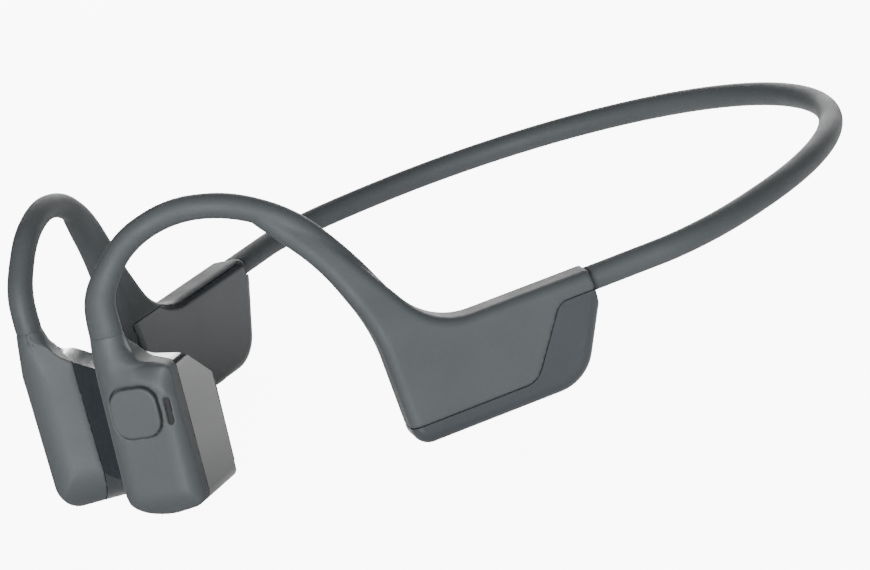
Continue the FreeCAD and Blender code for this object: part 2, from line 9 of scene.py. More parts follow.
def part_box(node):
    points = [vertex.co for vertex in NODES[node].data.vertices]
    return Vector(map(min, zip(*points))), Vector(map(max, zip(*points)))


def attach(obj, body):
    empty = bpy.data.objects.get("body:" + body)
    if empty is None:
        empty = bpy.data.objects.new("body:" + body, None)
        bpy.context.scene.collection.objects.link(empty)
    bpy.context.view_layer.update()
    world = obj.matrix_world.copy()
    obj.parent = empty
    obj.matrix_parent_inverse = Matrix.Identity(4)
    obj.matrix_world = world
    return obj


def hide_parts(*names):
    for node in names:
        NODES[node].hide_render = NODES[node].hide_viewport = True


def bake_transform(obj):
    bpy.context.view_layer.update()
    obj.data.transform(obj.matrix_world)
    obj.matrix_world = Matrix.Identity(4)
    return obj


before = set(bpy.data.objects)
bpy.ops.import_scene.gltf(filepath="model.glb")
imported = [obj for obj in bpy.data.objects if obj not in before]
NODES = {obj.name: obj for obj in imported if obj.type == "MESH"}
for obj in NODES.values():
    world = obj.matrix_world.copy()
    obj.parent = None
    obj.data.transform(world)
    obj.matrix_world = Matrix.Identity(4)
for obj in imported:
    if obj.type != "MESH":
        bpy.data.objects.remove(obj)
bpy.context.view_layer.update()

bl_info = {
    "name": "Bone conduction headphones",
    "version": (1, 0, 0),
    "blender": (4, 5, 0),
    "location": "View3D > Sidebar > Headphones",
    "description": "Neckband, ear hooks, pods and speakers of open-ear headphones",
    "category": "Add Mesh",
}

MM = 0.001
SIDES = ("left", "right")

# Where the neckband is widest, the pods and the speakers stand, in metres.
BAND_Y = 7.0 * MM
BAND_Z = 12.1 * MM
BAND_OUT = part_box("neckband_cover")[1]
POD_TURN = math.radians(22.7)
POD_CORNER = Vector((47.0, -1.2, 0)) * MM + Vector((0, BAND_Y, BAND_Z))
POD_REACH = 28.0 * MM
POD_REAR = 15.4 * MM
HOOK_TIP = Vector((9.5, -34.7, 12.9)) * MM
SPEAKER_TURN = math.radians(54.7)
SPEAKER_TILT = math.radians(3.0)
SPEAKER_LEAN = math.radians(5.0)

# Edges of a speaker cover in its own frame, in millimetres from the hook's end.
COVER_FRONT = -2.6
COVER_REAR = 8.4
COVER_FOOT = -24.9
COVER_SHOULDER = -4.3
COVER_OUT = 2.45              # outer face
COVER_SEAM = -1.0             # seam with the housing, at the rear edge
SEAM_SLOPE = 0.325            # how fast the seam runs inwards towards the front
NECK_OUT = 1.7                # half the thickness of the neck
NECK_REAR = 2.4               # rear edge of the neck

HOOK_TOP = 25.1 * MM          # highest control point of a hook, above the neckband
HOOK_START = 8.0 * MM         # height on the pod's limb where the round hook starts
HOOK_OVERLAP = 1.6 * MM       # how far a hook's skin runs into the speaker's neck
FLARE_LENGTH = 11 * MM        # stretch over which a hook widens towards the speaker
CORE_OFFSET = 0.53 * MM       # wire and cable, each side of the middle of the neckband
WIRE_RADIUS = 0.4 * MM
CABLE_RADIUS = 0.5 * MM
COIL_WIRE = 0.13 * MM         # radius of one turn's wire with its lacquer
COIL_LAYERS = 3
BUTTON_STEP = 0.08 * MM       # grid step of the moulded button
BUTTON_DROP = 0.12 * MM


# ------------------------------------------------------------------ frames of the pieces


def frame_matrix(origin, x_axis, y_axis):
    z_axis = x_axis.cross(y_axis)
    matrix = Matrix((x_axis, y_axis, z_axis)).transposed().to_4x4()
    matrix.translation = origin
    return matrix


def pod_frame():
    """Left pod: x to the rear along the pod, y up, z out of its outer face."""
    rearwards = Vector((math.sin(POD_TURN), math.cos(POD_TURN), 0))
    return frame_matrix(POD_CORNER - rearwards * POD_REACH, rearwards, Vector((0, 0, 1)))


def speaker_frame():
    """Left speaker: x to the rear, y up, z out of its outer face, from the hook's end."""
    level = math.cos(SPEAKER_TILT)
    normal = Vector((level * math.cos(SPEAKER_TURN), -level * math.sin(SPEAKER_TURN),
                     math.sin(SPEAKER_TILT)))
    rearwards = Vector((math.sin(SPEAKER_TURN), math.cos(SPEAKER_TURN), 0))
    up = normal.cross(rearwards)
    rearwards = rearwards * math.cos(SPEAKER_LEAN) - up * math.sin(SPEAKER_LEAN)
    pod = pod_frame().translation
    origin = Vector((HOOK_TIP.x, pod.y + HOOK_TIP.y, BAND_Z + HOOK_TIP.z))
    return frame_matrix(origin, rearwards, normal.cross(rearwards))


POD = pod_frame()
SPEAKER = speaker_frame()
MIRROR = Matrix.Diagonal((-1, 1, 1, 1))


# ------------------------------------------------------------------------ mesh helpers


def settings():
    return bpy.context.scene.headphones


def show(name, mesh, material):
    """Object at the origin, smooth shaded, with one material."""
    mesh.materials.clear()
    mesh.materials.append(material)
    mesh.polygons.foreach_set("use_smooth", [True] * len(mesh.polygons))
    piece = bpy.data.objects.new(name, mesh)
    mesh.name = name
    bpy.context.scene.collection.objects.link(piece)
    return piece


def evaluated_mesh(piece):
    """Plain mesh of a piece with its modifiers; the piece itself is removed."""
    bpy.context.view_layer.update()
    graph = bpy.context.evaluated_depsgraph_get()
    mesh = bpy.data.meshes.new_from_object(piece.evaluated_get(graph))
    bpy.data.objects.remove(piece)
    return mesh


def temporary(name, data):
    piece = bpy.data.objects.new(name, data)
    bpy.context.scene.collection.objects.link(piece)
    return piece


def cad_mesh(*nodes):
    """One mesh from copies of CAD nodes, with their doubled points merged."""
    bm = bmesh.new()
    for node in nodes:
        bm.from_mesh(NODES[node].data)
    bmesh.ops.remove_doubles(bm, verts=bm.verts, dist=1e-7)
    mesh = bpy.data.meshes.new(nodes[0] + "_copy")
    bm.to_mesh(mesh)
    bm.free()
    return mesh


def joined(*meshes):
    bm = bmesh.new()
    for mesh in meshes:
        bm.from_mesh(mesh)
    together = bpy.data.meshes.new("joined")
    bm.to_mesh(together)
    bm.free()
    return together


def moulded(mesh, voxel, rounds):
    """The mesh as one closed skin with softened edges."""
    piece = temporary("moulded", mesh)
    remesh = piece.modifiers.new("remesh", "REMESH")
    remesh.mode = "VOXEL"
    remesh.voxel_size = voxel
    remesh.adaptivity = 0
    smooth = piece.modifiers.new("smooth", "SMOOTH")
    smooth.factor = 0.5
    smooth.iterations = rounds
    return evaluated_mesh(piece)


def reshaped(mesh, matrix, rule):
    """Moves each point by rule(point), worked out in the matrix's own frame."""
    inverse = matrix.inverted()
    for vertex in mesh.vertices:
        vertex.co = matrix @ rule(inverse @ vertex.co)
    return mesh


def mirrored(mesh):
    """Mirror image across the centre plane, with its faces still pointing outwards."""
    copy = mesh.copy()
    copy.transform(MIRROR)
    copy.flip_normals()
    return copy


def ring_tube(centres, sections):
    """Closed tube through centres; sections holds each ring's (side, across, a, b)."""
    count = 40
    bm = bmesh.new()
    rings = []
    for centre, (side, across, a, b) in zip(centres, sections):
        ring = []
        for i in range(count):
            angle = 2 * math.pi * i / count
            ring.append(bm.verts.new(
                centre + side * (a * math.cos(angle)) + across * (b * math.sin(angle))))
        rings.append(ring)
    for ring, following in zip(rings, rings[1:]):
        for i in range(count):
            j = (i + 1) % count
            bm.faces.new((ring[i], ring[j], following[j], following[i]))
    bm.faces.new(list(reversed(rings[0])))
    bm.faces.new(rings[-1])
    bmesh.ops.recalc_face_normals(bm, faces=bm.faces)
    mesh = bpy.data.meshes.new("ring_tube")
    bm.to_mesh(mesh)
    bm.free()
    return mesh


def spline_object(name, points, closed=False):
    """Smooth curve with the points as its control points."""
    curve = bpy.data.curves.new(name, "CURVE")
    curve.dimensions = "3D"
    curve.resolution_u = 12
    spline = curve.splines.new("NURBS")
    spline.points.add(len(points) - 1)
    for target, point in zip(spline.points, points):
        target.co = (point.x, point.y, point.z, 1.0)
    spline.order_u = 3
    spline.use_endpoint_u = not closed
    spline.use_cyclic_u = closed
    return temporary(name, curve)


def spline_line(points):
    """Points along the smooth curve."""
    mesh = evaluated_mesh(spline_object("line", points))
    return [vertex.co.copy() for vertex in mesh.vertices]


# ---------------------------------------------------------------------- geometry nodes


def node_tree(name, inputs):
    """Geometry node tree with a geometry input, the named number inputs and an output."""
    tree = bpy.data.node_groups.new(name, "GeometryNodeTree")
    sockets = tree.interface
    sockets.new_socket("Geometry", in_out="INPUT", socket_type="NodeSocketGeometry")
    for label, kind, default in inputs:
        socket = sockets.new_socket(label, in_out="INPUT", socket_type="NodeSocket" + kind)
        if default is not None:
            socket.default_value = default
    sockets.new_socket("Geometry", in_out="OUTPUT", socket_type="NodeSocketGeometry")
    return tree


def build(tree, steps, links):
    """Adds nodes from {name: type} and links 'node.socket' to 'node.socket'."""
    made = {"in": tree.nodes.new("NodeGroupInput"), "out": tree.nodes.new("NodeGroupOutput")}
    for key, kind in steps.items():
        made[key] = tree.nodes.new(kind)
    for start, end in links:
        source, output = start.split(".")
        target, entry = end.split(".")
        tree.links.new(socket_of(made[source].outputs, output),
                       socket_of(made[target].inputs, entry))
    return made


def socket_of(sockets, label):
    return sockets[int(label)] if label.isdigit() else sockets[label]


def sweep_tree():
    """Tube along a curve: an outer wall and, where the inner radius isn't 0, a bore."""
    tree = node_tree("tube_along_curve", (
        ("Outer Radius", "Float", 0.0016), ("Inner Radius", "Float", 0.001),
        ("Sides", "Int", 32), ("Points", "Int", 240), ("Material", "Material", None)))
    build(tree, {
        "resample": "GeometryNodeResampleCurve",
        "outer_ring": "GeometryNodeCurvePrimitiveCircle",
        "inner_ring": "GeometryNodeCurvePrimitiveCircle",
        "outer": "GeometryNodeCurveToMesh",
        "inner": "GeometryNodeCurveToMesh",
        "flip": "GeometryNodeFlipFaces",
        "join": "GeometryNodeJoinGeometry",
        "real": "GeometryNodeRealizeInstances",
        "paint": "GeometryNodeSetMaterial",
    }, (
        ("in.Geometry", "resample.Curve"), ("in.Points", "resample.Count"),
        ("in.Outer Radius", "outer_ring.Radius"), ("in.Inner Radius", "inner_ring.Radius"),
        ("in.Sides", "outer_ring.Resolution"), ("in.Sides", "inner_ring.Resolution"),
        ("resample.Curve", "outer.Curve"), ("outer_ring.Curve", "outer.Profile Curve"),
        ("resample.Curve", "inner.Curve"), ("inner_ring.Curve", "inner.Profile Curve"),
        ("inner.Mesh", "flip.Mesh"), ("flip.Mesh", "join.Geometry"),
        ("outer.Mesh", "join.Geometry"), ("join.Geometry", "real.Geometry"),
        ("real.Geometry", "paint.Geometry"), ("in.Material", "paint.Material"),
        ("paint.Geometry", "out.Geometry"),
    ))
    return tree


def coil_tree():
    """Turns of round wire: copies of a closed loop, stacked along z."""
    tree = node_tree("wound_turns", (
        ("Turns", "Int", 9), ("Pitch", "Float", 0.00025), ("Wire Radius", "Float", 0.00012),
        ("Material", "Material", None)))
    made = build(tree, {
        "offset": "ShaderNodeCombineXYZ",
        "line": "GeometryNodeMeshLine",
        "ring": "GeometryNodeCurvePrimitiveCircle",
        "wire": "GeometryNodeCurveToMesh",
        "place": "GeometryNodeInstanceOnPoints",
        "real": "GeometryNodeRealizeInstances",
        "paint": "GeometryNodeSetMaterial",
    }, (
        ("in.Pitch", "offset.Z"), ("in.Turns", "line.Count"), ("offset.Vector", "line.Offset"),
        ("in.Wire Radius", "ring.Radius"), ("in.Geometry", "wire.Curve"),
        ("ring.Curve", "wire.Profile Curve"), ("line.Mesh", "place.Points"),
        ("wire.Mesh", "place.Instance"), ("place.Instances", "real.Geometry"),
        ("real.Geometry", "paint.Geometry"), ("in.Material", "paint.Material"),
        ("paint.Geometry", "out.Geometry"),
    ))
    made["ring"].inputs["Resolution"].default_value = 10
    return tree


def grown(piece, tree, values):
    """Plain mesh of a piece after the node tree, with its named inputs set."""
    modifier = piece.modifiers.new("nodes", "NODES")
    modifier.node_group = tree
    for item in tree.interface.items_tree:
        if item.item_type == "SOCKET" and item.in_out == "INPUT" and item.name in values:
            modifier[item.identifier] = values[item.name]
    return evaluated_mesh(piece)


def closed_ends(mesh):
    """Joins outer and inner walls at each open end."""
    bm = bmesh.new()
    bm.from_mesh(mesh)
    bmesh.ops.remove_doubles(bm, verts=bm.verts, dist=1e-8)
    rims = [edge for edge in bm.edges if edge.is_boundary]
    for side in (-1, 1):
        near = [edge for edge in rims if edge.verts[0].co.x * side > 0]
        if near:
            bmesh.ops.bridge_loops(bm, edges=near)
    bm.to_mesh(mesh)
    bm.free()
    return mesh


# -------------------------------------------------------------------------- materials


def shader_group(name, inputs, outputs):
    group = bpy.data.node_groups.new(name, "ShaderNodeTree")
    for label, kind, default in inputs:
        socket = group.interface.new_socket(label, in_out="INPUT",
                                            socket_type="NodeSocket" + kind)
        socket.default_value = default
    for label, kind in outputs:
        group.interface.new_socket(label, in_out="OUTPUT", socket_type="NodeSocket" + kind)
    return group


def grain_group():
    """Fine moulded grain: a height for bump and a mask for roughness."""
    group = shader_group("fine_grain", (("Scale", "Float", 5000.0), ("Speckle", "Float", 0.3)),
                         (("Height", "Float"), ("Mask", "Float")))
    made = build(group, {
        "place": "ShaderNodeTexCoord", "fine": "ShaderNodeTexNoise",
        "cells": "ShaderNodeTexVoronoi", "wide": "ShaderNodeTexNoise",
        "share": "ShaderNodeMath", "mix": "ShaderNodeMath", "both": "ShaderNodeMath",
    }, (
        ("place.Object", "fine.Vector"), ("place.Object", "cells.Vector"),
        ("place.Object", "wide.Vector"), ("in.Scale", "fine.Scale"),
        ("in.Scale", "cells.Scale"), ("cells.Distance", "share.0"), ("in.Speckle", "share.1"),
        ("fine.0", "mix.0"), ("share.Value", "mix.1"), ("mix.Value", "out.Height"),
        ("wide.0", "both.0"), ("fine.0", "both.1"), ("both.Value", "out.Mask"),
    ))
    made["fine"].inputs["Detail"].default_value = 3
    made["wide"].inputs["Scale"].default_value = 160
    made["wide"].inputs["Detail"].default_value = 4
    made["share"].operation = "MULTIPLY"
    made["mix"].operation = "ADD"
    made["both"].operation = "MULTIPLY"
    return group


def tone_group():
    """Slow drift between two close tones."""
    group = shader_group("tone_drift", (
        ("Tone A", "Color", (0.1, 0.1, 0.1, 1)), ("Tone B", "Color", (0.1, 0.1, 0.1, 1)),
        ("Scale", "Float", 90.0)), (("Color", "Color"),))
    made = build(group, {
        "place": "ShaderNodeTexCoord", "drift": "ShaderNodeTexNoise",
        "spread": "ShaderNodeMapRange", "mix": "ShaderNodeMix",
    }, (("place.Object", "drift.Vector"), ("in.Scale", "drift.Scale"),
        ("drift.0", "spread.Value")))
    made["drift"].inputs["Detail"].default_value = 5
    made["spread"].inputs["From Min"].default_value = 0.3
    made["spread"].inputs["From Max"].default_value = 0.7
    mix = made["mix"]
    mix.data_type = "RGBA"
    group.links.new(made["spread"].outputs["Result"], mix.inputs[0])
    group.links.new(made["in"].outputs["Tone A"], mix.inputs[6])
    group.links.new(made["in"].outputs["Tone B"], mix.inputs[7])
    group.links.new(mix.outputs[2], made["out"].inputs["Color"])
    return group


def line_group():
    """Fine drawn or brushed lines along one axis."""
    group = shader_group("drawn_lines", (
        ("Along", "Vector", (1.0, 1.0, 0.05)), ("Scale", "Float", 3000.0)),
        (("Height", "Float"),))
    made = build(group, {
        "place": "ShaderNodeTexCoord", "stretch": "ShaderNodeVectorMath",
        "lines": "ShaderNodeTexNoise",
    }, (("place.Object", "stretch.0"), ("in.Along", "stretch.1"),
        ("stretch.Vector", "lines.Vector"), ("in.Scale", "lines.Scale"),
        ("lines.0", "out.Height")))
    made["stretch"].operation = "MULTIPLY"
    return group


GROUPS = {}


def group_node(tree, name, values):
    if name not in GROUPS:
        GROUPS[name] = {"grain": grain_group, "tone": tone_group, "lines": line_group}[name]()
    node = tree.nodes.new("ShaderNodeGroup")
    node.node_tree = GROUPS[name]
    for label, value in values.items():
        node.inputs[label].default_value = value
    return node


def finish_material(name, tones, rough, grain=(5000.0, 0.3, 0.00001), drift=90.0, lines=None,
                    **sockets):
    """Principled material: tones are two close colours, rough is the roughness range,
    grain is (scale, speckle, depth in metres), lines an optional brushed direction."""
    material = bpy.data.materials.new(name)
    material.use_nodes = True
    tree = material.node_tree
    shader = tree.nodes["Principled BSDF"]
    for label, value in sockets.items():
        shader.inputs[label.replace("_", " ")].default_value = value
    tone = group_node(tree, "tone", {
        "Tone A": (*tones[0], 1), "Tone B": (*tones[1], 1), "Scale": drift})
    tree.links.new(tone.outputs["Color"], shader.inputs["Base Color"])
    texture = group_node(tree, "grain", {"Scale": grain[0], "Speckle": grain[1]})
    spread = tree.nodes.new("ShaderNodeMapRange")
    spread.inputs["From Min"].default_value = 0.15
    spread.inputs["From Max"].default_value = 0.35
    spread.inputs["To Min"].default_value = rough[0]
    spread.inputs["To Max"].default_value = rough[1]
    tree.links.new(texture.outputs["Mask"], spread.inputs["Value"])
    tree.links.new(spread.outputs["Result"], shader.inputs["Roughness"])
    bump = tree.nodes.new("ShaderNodeBump")
    bump.inputs["Strength"].default_value = 0.6
    bump.inputs["Distance"].default_value = grain[2]
    height = texture.outputs["Height"]
    if lines is not None:
        brushed = group_node(tree, "lines", {"Along": lines})
        height = brushed.outputs["Height"]
    tree.links.new(height, bump.inputs["Height"])
    tree.links.new(bump.outputs["Normal"], shader.inputs["Normal"])
    return material


def scaled(colour, factor):
    return tuple(part * factor for part in colour)


def two_tones(colour, spread=0.06):
    return scaled(colour, 1 - spread), scaled(colour, 1 + spread)


def board_material():
    """Solder mask with fine lighter tracks that follow rounded cells."""
    material = finish_material("solder_mask", ((0.012, 0.05, 0.026), (0.016, 0.066, 0.034)),
                               (0.28, 0.4), Coat_Weight=0.4, Coat_Roughness=0.15)
    tree = material.node_tree
    shader = tree.nodes["Principled BSDF"]
    place = tree.nodes.new("ShaderNodeTexCoord")
    tracks = tree.nodes.new("ShaderNodeTexVoronoi")
    tracks.feature = "DISTANCE_TO_EDGE"
    tracks.inputs["Scale"].default_value = 900
    edge = tree.nodes.new("ShaderNodeMapRange")
    edge.inputs["From Min"].default_value = 0.05
    edge.inputs["From Max"].default_value = 0.09
    edge.inputs["To Min"].default_value = 1
    edge.inputs["To Max"].default_value = 0
    mix = tree.nodes.new("ShaderNodeMix")
    mix.data_type = "RGBA"
    mix.inputs[7].default_value = (0.045, 0.15, 0.07, 1)
    tree.links.new(place.outputs["Object"], tracks.inputs["Vector"])
    tree.links.new(tracks.outputs["Distance"], edge.inputs["Value"])
    tree.links.new(edge.outputs["Result"], mix.inputs[0])
    tree.links.new(shader.inputs["Base Color"].links[0].from_socket, mix.inputs[6])
    tree.links.new(mix.outputs[2], shader.inputs["Base Color"])
    return material


MATERIALS = {}


def make_materials():
    s = settings()
    skin, shell, rubber = tuple(s.skin_colour), tuple(s.shell_colour), tuple(s.rubber_colour)
    black = (0.012, 0.012, 0.013)
    MATERIALS.update({
        "silicone": finish_material(
            "soft_touch_silicone", two_tones(skin, 0.05), (0.58, 0.7),
            grain=(5200.0, 0.5, 0.000012), Sheen_Weight=0.05, Sheen_Roughness=0.4,
            Specular_IOR_Level=0.24),
        "cover": finish_material(
            "soft_touch_cover", two_tones(skin, 0.04), (0.54, 0.66),
            grain=(6400.0, 0.4, 0.00001), Sheen_Weight=0.05, Sheen_Roughness=0.4,
            Specular_IOR_Level=0.28),
        "gloss": finish_material(
            "gloss_shell", two_tones(shell, 0.05), (0.16, 0.22), grain=(1800.0, 0.1, 0.0000006),
            Coat_Weight=0.6, Coat_Roughness=0.06),
        "satin": finish_material(
            "satin_shell", two_tones(scaled(shell, 1.5), 0.05), (0.3, 0.38),
            grain=(4200.0, 0.3, 0.000005), Coat_Weight=0.12, Coat_Roughness=0.2,
            Specular_IOR_Level=0.35),
        "rubber": finish_material(
            "pad_rubber", two_tones(rubber, 0.08), (0.5, 0.62), grain=(4200.0, 0.6, 0.000008),
            Specular_IOR_Level=0.35),
        "black": finish_material(
            "moulded_black", two_tones(black, 0.1), (0.5, 0.64), grain=(3600.0, 0.8, 0.000006),
            Specular_IOR_Level=0.3),
        "chip": finish_material(
            "chip_package", two_tones(scaled(black, 1.4), 0.1), (0.5, 0.62),
            grain=(7000.0, 1.0, 0.00001)),
        "jacket": finish_material(
            "cable_jacket", two_tones((0.02, 0.02, 0.021), 0.1), (0.3, 0.42),
            grain=(5200.0, 0.4, 0.000006)),
        "spring": finish_material(
            "spring_wire", ((0.5, 0.49, 0.47), (0.58, 0.57, 0.55)), (0.22, 0.34),
            grain=(3000.0, 0.0, 0.000006), lines=(1.0, 1.0, 0.06), Metallic=1.0),
        "copper": finish_material(
            "lacquered_copper", ((0.66, 0.27, 0.12), (0.76, 0.34, 0.16)), (0.2, 0.32),
            grain=(2600.0, 0.2, 0.000004), Metallic=1.0, Coat_Weight=0.5, Coat_Roughness=0.12),
        "nickel": finish_material(
            "nickel_plate", ((0.62, 0.61, 0.58), (0.7, 0.69, 0.66)), (0.18, 0.3),
            grain=(2600.0, 0.3, 0.000004), Metallic=1.0),
        "steel": finish_material(
            "dark_steel", ((0.12, 0.12, 0.125), (0.16, 0.16, 0.165)), (0.3, 0.45),
            grain=(3000.0, 0.2, 0.000006), lines=(0.06, 1.0, 1.0), Metallic=1.0),
        "foil": finish_material(
            "cell_foil", ((0.55, 0.56, 0.57), (0.66, 0.67, 0.69)), (0.26, 0.42),
            grain=(700.0, 0.5, 0.00005), drift=240.0, Metallic=0.9),
        "board": board_material(),
        "lens": finish_material(
            "frosted_lens", ((0.7, 0.72, 0.75), (0.78, 0.8, 0.83)), (0.3, 0.4),
            grain=(5200.0, 0.5, 0.000006), Subsurface_Weight=0.3,
            Subsurface_Scale=0.0006),
    })


# --------------------------------------------------------------------------- the shapes


def band_controls():
    """Control points of the neckband's middle line, pod to pod round the back."""
    s = settings()
    tube = s.band_tube / 2
    half_width, depth = POD_CORNER.x, BAND_OUT.y - tube - BAND_Y
    steps = 10
    step = math.pi / steps
    rearwards = Vector((math.sin(POD_TURN), math.cos(POD_TURN), 0))
    end = POD_CORNER - rearwards * (POD_REACH - POD_REAR)
    left = [end, POD_CORNER.lerp(end, 0.45), POD_CORNER]
    arch = []
    for i in range(steps):
        angle = (i + 0.5) * step
        arch.append(Vector((half_width * math.cos(angle) / math.cos(step / 2),
                            BAND_Y + depth * math.sin(angle) / math.cos(step / 2), BAND_Z)))
    return left + arch + [MIRROR @ point for point in reversed(left)]


def hook_controls():
    """Control points of the left ear hook's middle line, pod to speaker."""
    pod, tip = POD.translation, SPEAKER.translation
    along = tip - pod
    along.z = 0
    aside = Vector((along.y, -along.x, 0)).normalized()
    top = BAND_Z + HOOK_TOP
    rise = top - tip.z
    corners = ((0.185, BAND_Z + 3.4 * MM, -1.0), (0.29, BAND_Z + 12.9 * MM, -0.4),
               (0.395, tip.z + 0.54 * rise, 0.4), (0.545, tip.z + 0.88 * rise, 1.2),
               (0.71, top, 1.4), (0.87, tip.z + 0.84 * rise, 1.0),
               (0.975, tip.z + 0.42 * rise, 0.2))
    points = [POD @ Vector((-3.0 * MM, -0.6 * MM, 0))]
    for share, height, bow in corners:
        point = pod + along * share + aside * (bow * MM)
        point.z = height
        points.append(point)
    return points + [tip.copy(), SPEAKER @ Vector((0.4 * MM, -4.2 * MM, 0))]


def hook_core():
    """The round part of the left hook, flaring a little where it meets the speaker."""
    s = settings()
    line = spline_line(hook_controls())
    into_speaker = SPEAKER.inverted()
    into_pod = POD.inverted()
    centres, sections = [], []
    for i, point in enumerate(line):
        in_speaker = into_speaker @ point
        if in_speaker.y < -HOOK_OVERLAP and in_speaker.z > -6 * MM and i > len(line) / 2:
            break
        if (into_pod @ point).y < HOOK_START:
            continue
        ahead = (line[min(i + 1, len(line) - 1)] - line[i - 1]).normalized()
        wanted = SPEAKER.to_3x3().col[0]
        side = (wanted - ahead * wanted.dot(ahead)).normalized()
        across = ahead.cross(side)
        flare = smooth_step(1 - in_speaker.length / FLARE_LENGTH, 0.0, 1.0)
        radius = s.hook_tube / 2
        neck = SPEAKER @ Vector((0.2 * MM, in_speaker.y, 0))
        centres.append(point.lerp(neck, flare ** 2))
        inside = 0.08 * MM * smooth_step(-in_speaker.y / MM, 0.0, 0.4) * (flare > 0.5)
        sections.append((side, across, radius + 0.6 * MM * flare - inside,
                         radius + 0.1 * MM * flare - inside))
    return ring_tube(centres, sections)


def smooth_step(value, low, high):
    share = min(max((value - low) / (high - low), 0.0), 1.0)
    return share * share * (3 - 2 * share)


def rounding(gap, reach):
    """How far a quarter round of that reach lies under its face, as a share of its depth."""
    share = min(max(gap / reach, 0.0), 1.0)
    return 1 - math.sqrt(1 - (1 - share) ** 2)


def soft_form(point):
    """Rounds the long edges, the foot and the shoulder of a cover, and its neck to an oval."""
    x, y, z = point.x / MM, point.y / MM, point.z / MM
    neck = smooth_step(y, -5.0, -0.8)
    block = 1 - neck
    outer = COVER_OUT - (COVER_OUT - NECK_OUT) * smooth_step(y, -5.0, 0.0)
    base = (COVER_SEAM - SEAM_SLOPE * (COVER_REAR - x)) * block
    rear = COVER_REAR
    if y >= -4.6:
        rear = NECK_REAR + (COVER_REAR - NECK_REAR) * (max(-y, 0.0) / 4.6) ** 4
    front = COVER_FRONT + 0.6 * smooth_step(y, -6.0, 0.0)
    depth = ((NECK_OUT * neck + 1.3 * block) * rounding(rear - x, 2.2 + 0.5 * block)
             + (NECK_OUT * neck + 2.3 * block) * rounding(x - front, 2.2 + block)
             + 2.9 * rounding(y - COVER_FOOT, 4.8)
             + 1.1 * smooth_step(x, 3.0, 5.5) * rounding(COVER_SHOULDER - y, 2.4))
    depth = min(depth, 0.93 * (outer - base))
    share = min(max((z - base) / (outer - base), 0.0), 1.0)
    under = min(max(-z / NECK_OUT, 0.0), 1.0) * smooth_step(y, -3.0, -0.6)
    inner = 1.6 * max(rounding(rear - x, 2.2), rounding(x - front, 2.2)) * under
    return Vector((point.x, point.y, point.z + (inner - depth * share) * MM))


def speaker_relief(point):
    """Soft hollow behind the hook's root and the ridge under it, on the rounded cover."""
    x, y, z = point.x / MM, point.y / MM, point.z / MM
    point = soft_form(point)
    if z < 0.6:
        return point
    outer = smooth_step(z, 0.6, 2.0)
    ridge = -4.9 - 0.08 * (x - 2.0) ** 2
    above = math.exp(-((y - ridge - 1.5) / 1.5) ** 2) * smooth_step(x, 0.4, 3.2)
    below = math.exp(-((y - ridge + 0.6) / 0.7) ** 2) * smooth_step(x, -1.0, 1.5)
    lift = (-0.42 * above + 0.08 * below) * outer
    return Vector((point.x, point.y, point.z + lift * MM))


def button_shift(point):
    """The cap sits a little low and forward, so its groove opens at the top and rear."""
    return point + Vector((-BUTTON_DROP, -BUTTON_DROP, 0))


# --------------------------------------------------------------------------- operators


class HEADPHONES_OT_materials(bpy.types.Operator):
    """Make every finish of the headphones"""
    bl_idname = "headphones.materials"
    bl_label = "Finishes"

    def execute(self, context):
        make_materials()
        return {"FINISHED"}


class HEADPHONES_OT_neckband(bpy.types.Operator):
    """Sweep the neckband's cover, wire and cable round the back of the head"""
    bl_idname = "headphones.neckband"
    bl_label = "Neckband"

    def execute(self, context):
        s = settings()
        tree = sweep_tree()
        lift = Vector((0, 0, CORE_OFFSET))
        rows = (("neckband_cover", "soft_silicone", "silicone", Vector(), s.band_tube / 2,
                 s.band_bore / 2, 48),
                ("neckband_wire", "spring_metal", "spring", lift, WIRE_RADIUS, 0, 16),
                ("neckband_cable", "cable_jacket", "jacket", -lift, CABLE_RADIUS, 0, 16))
        for node, slot, finish, offset, outer, inner, sides in rows:
            points = [point + offset for point in band_controls()]
            mesh = grown(spline_object(node, points), tree, {
                "Outer Radius": outer, "Inner Radius": max(inner, outer * 0.02),
                "Sides": sides, "Points": 320, "Material": MATERIALS[finish]})
            piece = show(node.replace("neckband", "band"), closed_ends(mesh),
                         MATERIALS[finish])
            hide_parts(node)
            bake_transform(piece)
        return {"FINISHED"}


class HEADPHONES_OT_ear_hooks(bpy.types.Operator):
    """Mould the soft ear hooks with the skin of the pods"""
    bl_idname = "headphones.ear_hooks"
    bl_label = "Ear hooks and pod skins"

    def execute(self, context):
        s = settings()
        skin = moulded(joined(cad_mesh("left_ear_hook"), hook_core()), s.voxel, s.soft_rounds)
        for side in SIDES:
            mesh = skin if side == "left" else mirrored(skin)
            piece = show(side + "_hook_skin", mesh, MATERIALS["silicone"])
            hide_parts(side + "_ear_hook")
            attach(piece, side + "_side")
        return {"FINISHED"}


class HEADPHONES_OT_speakers(bpy.types.Operator):
    """Mould the covers of the speakers"""
    bl_idname = "headphones.speakers"
    bl_label = "Speaker covers"

    def execute(self, context):
        s = settings()
        for side in SIDES:
            matrix = SPEAKER if side == "left" else MIRROR @ SPEAKER
            mesh = moulded(cad_mesh(side + "_speaker_cover"), s.voxel * 0.8, s.soft_rounds - 1)
            mesh = reshaped(mesh, matrix, speaker_relief)
            piece = show(side + "_speaker_front", mesh, MATERIALS["cover"])
            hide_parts(side + "_speaker_cover")
            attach(piece, side + "_side")
        return {"FINISHED"}


